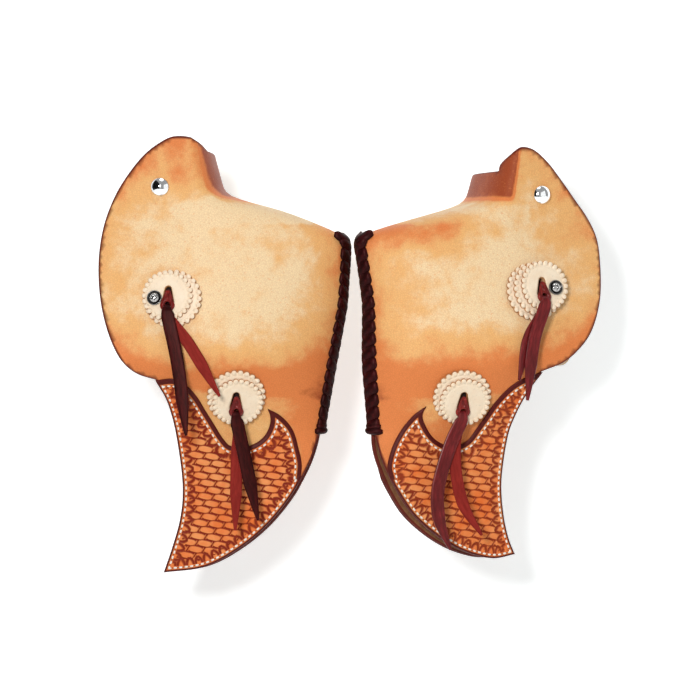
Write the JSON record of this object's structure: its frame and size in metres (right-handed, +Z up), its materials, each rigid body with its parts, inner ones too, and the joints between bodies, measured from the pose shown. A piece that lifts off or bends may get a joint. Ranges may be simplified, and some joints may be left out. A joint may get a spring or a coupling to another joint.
{
  "type": "tapadero stirrup",
  "caption": "Western tapadero stirrups, left and right: moulded leather hoods with laced toes, stamped wing overlays, rosettes and latigo strings over wooden stirrup bows.",
  "frame": {"origin": "middle of the left stirrup's neck roller, on its bolt axis", "axes": "+X from the left stirrup to the right one, +Z up, -Y towards the viewer of the decorated outer sides"},
  "size_m": [0.4687, 0.1676, 0.4076],
  "materials": {
    "hood_leather": "oiled natural skirting leather",
    "stamped_leather": "basket stamped, orange tan with dark recesses and edges",
    "rosette_leather": "pale undyed leather",
    "lace": "dark burgundy braided lace",
    "latigo": "burgundy latigo, waxy",
    "bow_wood": "varnished bent wood",
    "sole_leather": "dark sole leather",
    "roller_wood": "turned hardwood",
    "steel": "zinc plated",
    "chrome": "bright chrome",
    "dark_metal": "darkened nickel"
  },
  "bodies": {
    "frame": {"cup_washers": "dark_metal", "dome_nuts": "chrome", "hood_screws": "chrome", "left_hood": "hood_leather", "left_inner_overlay": "stamped_leather", "left_lower_rosette_back": "rosette_leather", "left_lower_rosette_front": "rosette_leather", "left_lower_string_knot": "latigo", "left_neck_bolt": "steel", "left_outer_overlay": "stamped_leather", "left_stirrup_bow": "bow_wood", "left_toe_lacing": "lace", "left_tread_leather": "sole_leather", "left_upper_rosette_back": "rosette_leather", "left_upper_rosette_front": "rosette_leather", "left_upper_string_knot": "latigo", "right_hood": "hood_leather", "right_inner_overlay": "stamped_leather", "right_lower_rosette_back": "rosette_leather", "right_lower_rosette_front": "rosette_leather", "right_lower_string_knot": "latigo", "right_neck_bolt": "steel", "right_outer_overlay": "stamped_leather", "right_stirrup_bow": "bow_wood", "right_toe_lacing": "lace", "right_tread_leather": "sole_leather", "right_upper_rosette_back": "rosette_leather", "right_upper_rosette_front": "rosette_leather", "right_upper_rosette_middle": "rosette_leather", "right_upper_string_knot": "latigo"},
    "left_lower_strings": {"left_lower_string_far_tail": "latigo", "left_lower_string_near_tail": "latigo"},
    "left_roller": {"left_neck_roller": "roller_wood"},
    "left_upper_strings": {"left_upper_string_far_tail": "latigo", "left_upper_string_near_tail": "latigo"},
    "right_lower_strings": {"right_lower_string_far_tail": "latigo", "right_lower_string_near_tail": "latigo"},
    "right_roller": {"right_neck_roller": "roller_wood"},
    "right_upper_strings": {"right_upper_string_far_tail": "latigo", "right_upper_string_near_tail": "latigo"}
  },
  "joints": [
    {"name": "left_neck_roller_spin", "type": "hinge", "parent": "frame", "child": "left_roller", "pos_m": [0, 0, 0], "axis": [0.1392, 0.9903, 0], "continuous": true},
    {"name": "left_upper_strings_swing", "type": "hinge", "parent": "frame", "child": "left_upper_strings", "pos_m": [0.0017, -0.07051, -0.10998], "axis": [-0.9903, 0.1392, 0], "range_deg": [0, 70]},
    {"name": "left_lower_strings_swing", "type": "hinge", "parent": "frame", "child": "left_lower_strings", "pos_m": [0.06487, -0.05503, -0.20891], "axis": [-0.9976, -0.0698, 0], "range_deg": [0, 70]},
    {"name": "right_neck_roller_spin", "type": "hinge", "parent": "frame", "child": "right_roller", "pos_m": [0.33092, 0, -0.00733], "axis": [-0.4226, 0.9063, 0], "continuous": true},
    {"name": "right_upper_strings_swing", "type": "hinge", "parent": "frame", "child": "right_upper_strings", "pos_m": [0.35072, -0.06968, -0.10208], "axis": [-0.9063, -0.4226, 0], "range_deg": [0, 70]},
    {"name": "right_lower_strings_swing", "type": "hinge", "parent": "frame", "child": "right_lower_strings", "pos_m": [0.27571, -0.0748, -0.20887], "axis": [-0.9744, -0.225, 0], "range_deg": [0, 70]}
  ]
}
